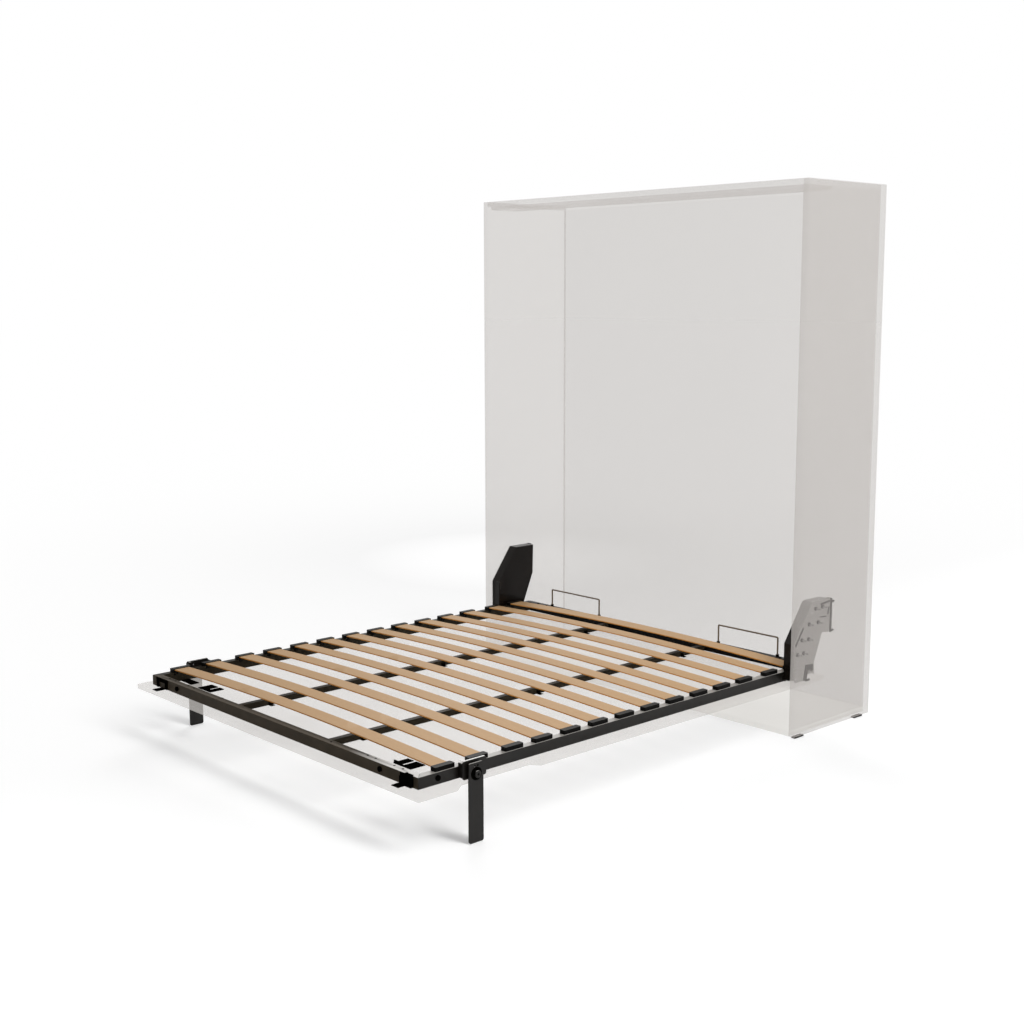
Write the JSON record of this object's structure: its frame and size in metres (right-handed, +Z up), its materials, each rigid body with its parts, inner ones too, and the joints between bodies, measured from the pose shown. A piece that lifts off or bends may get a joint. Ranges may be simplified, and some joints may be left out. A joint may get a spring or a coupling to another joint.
{
  "type": "fold-down wall bed",
  "caption": "Fold-down double wall bed: a slatted steel frame with folding legs and a door panel swings up into a shallow wall cabinet.",
  "frame": {"origin": "on the floor, under the middle of the whole bed as it stands lowered: halfway across its width and halfway between the cabinet's back and the door's far edge", "axes": "+X to the right seen from the foot end, +Y towards the wall, +Z up"},
  "size_m": [1.8, 2.342, 2.127],
  "materials": {
    "board": "pale warm grey board, shown see-through, smooth and matt",
    "frame_steel": "black powder coat, fine texture, slight sheen",
    "slat_wood": "clear-lacquered bent beech plywood, light tan, darker edges",
    "black_plastic": "black moulded plastic, satin",
    "cover_black": "smooth black paint, half gloss",
    "black_fittings": "black coated fittings, satin",
    "hoop_wire": "bronze grey lacquered wire",
    "zinc": "zinc plated, dull"
  },
  "bodies": {
    "cabinet": {"side_left": "board", "side_right": "board", "top_panel": "board", "base_panel": "board", "back_panel": "board", "stop_board": "board", "feet": "black_plastic", "mechanism_plate_left": "frame_steel", "mechanism_plate_right": "frame_steel", "cover_left": "cover_black", "cover_right": "cover_black", "plate_bolts_left": "zinc", "plate_bolts_right": "zinc", "pivot_pins": "zinc", "strut_pins": "zinc"},
    "bed": {"foot_rail": "frame_steel", "head_rail": "frame_steel", "side_rail_left": "frame_steel", "side_rail_right": "frame_steel", "mid_rail_left": "frame_steel", "mid_rail_right": "frame_steel", "slat_1": "slat_wood", "slat_2": "slat_wood", "slat_3": "slat_wood", "slat_4": "slat_wood", "slat_5": "slat_wood", "slat_6": "slat_wood", "slat_7": "slat_wood", "slat_8": "slat_wood", "slat_9": "slat_wood", "slat_10": "slat_wood", "slat_11": "slat_wood", "slat_12": "slat_wood", "slat_13": "slat_wood", "slat_14": "slat_wood", "holders_left": "black_plastic", "holders_right": "black_plastic", "hoop_left": "hoop_wire", "hoop_right": "hoop_wire", "hoop_ferrules": "black_plastic", "door_panel": "board", "corner_clip_left": "black_fittings", "corner_clip_right": "black_fittings", "door_bracket_left": "black_fittings", "door_bracket_right": "black_fittings", "rail_clips": "black_fittings", "leg_bracket_left": "frame_steel", "leg_bracket_right": "frame_steel", "leg_bolts": "black_fittings", "rail_screws": "black_fittings", "lever_left": "frame_steel", "lever_right": "frame_steel"},
    "leg_left": {"leg_left": "frame_steel"},
    "leg_right": {"leg_right": "frame_steel"},
    "strut_left": {"strut_left": "cover_black"},
    "strut_right": {"strut_right": "cover_black"},
    "rod_left": {"rod_left": "zinc"},
    "rod_right": {"rod_right": "zinc"}
  },
  "joints": [
    {"name": "bed_fold", "type": "hinge", "parent": "cabinet", "child": "bed", "pos_m": [0, 0.701, 0.226], "axis": [-1, 0, 0], "range_deg": [0, 90]},
    {"name": "leg_left_fold", "type": "hinge", "parent": "bed", "child": "leg_left", "pos_m": [-0.856, -0.927, 0.225], "axis": [1, 0, 0], "range_deg": [0, 90]},
    {"name": "leg_right_fold", "type": "hinge", "parent": "bed", "child": "leg_right", "pos_m": [0.856, -0.927, 0.225], "axis": [1, 0, 0], "range_deg": [0, 90]},
    {"name": "strut_left_tilt", "type": "hinge", "parent": "cabinet", "child": "strut_left", "pos_m": [-0.855, 0.799, 0.476], "axis": [-1, 0, 0], "range_deg": [0, 3.4]},
    {"name": "rod_left_slide", "type": "slide", "parent": "strut_left", "child": "rod_left", "axis": [0, -0.1964, -0.9805], "range_m": [0, 0.0762]},
    {"name": "strut_right_tilt", "type": "hinge", "parent": "cabinet", "child": "strut_right", "pos_m": [0.855, 0.799, 0.476], "axis": [-1, 0, 0], "range_deg": [0, 3.4]},
    {"name": "rod_right_slide", "type": "slide", "parent": "strut_right", "child": "rod_right", "axis": [0, -0.1964, -0.9805], "range_m": [0, 0.0762]}
  ],
  "couplings": [
    {"joint": "strut_left_tilt", "follows": "bed_fold", "ratio": 0.037544},
    {"joint": "rod_left_slide", "follows": "bed_fold", "m_per_rad": 0.04846},
    {"joint": "strut_right_tilt", "follows": "bed_fold", "ratio": 0.037544},
    {"joint": "rod_right_slide", "follows": "bed_fold", "m_per_rad": 0.04846}
  ]
}
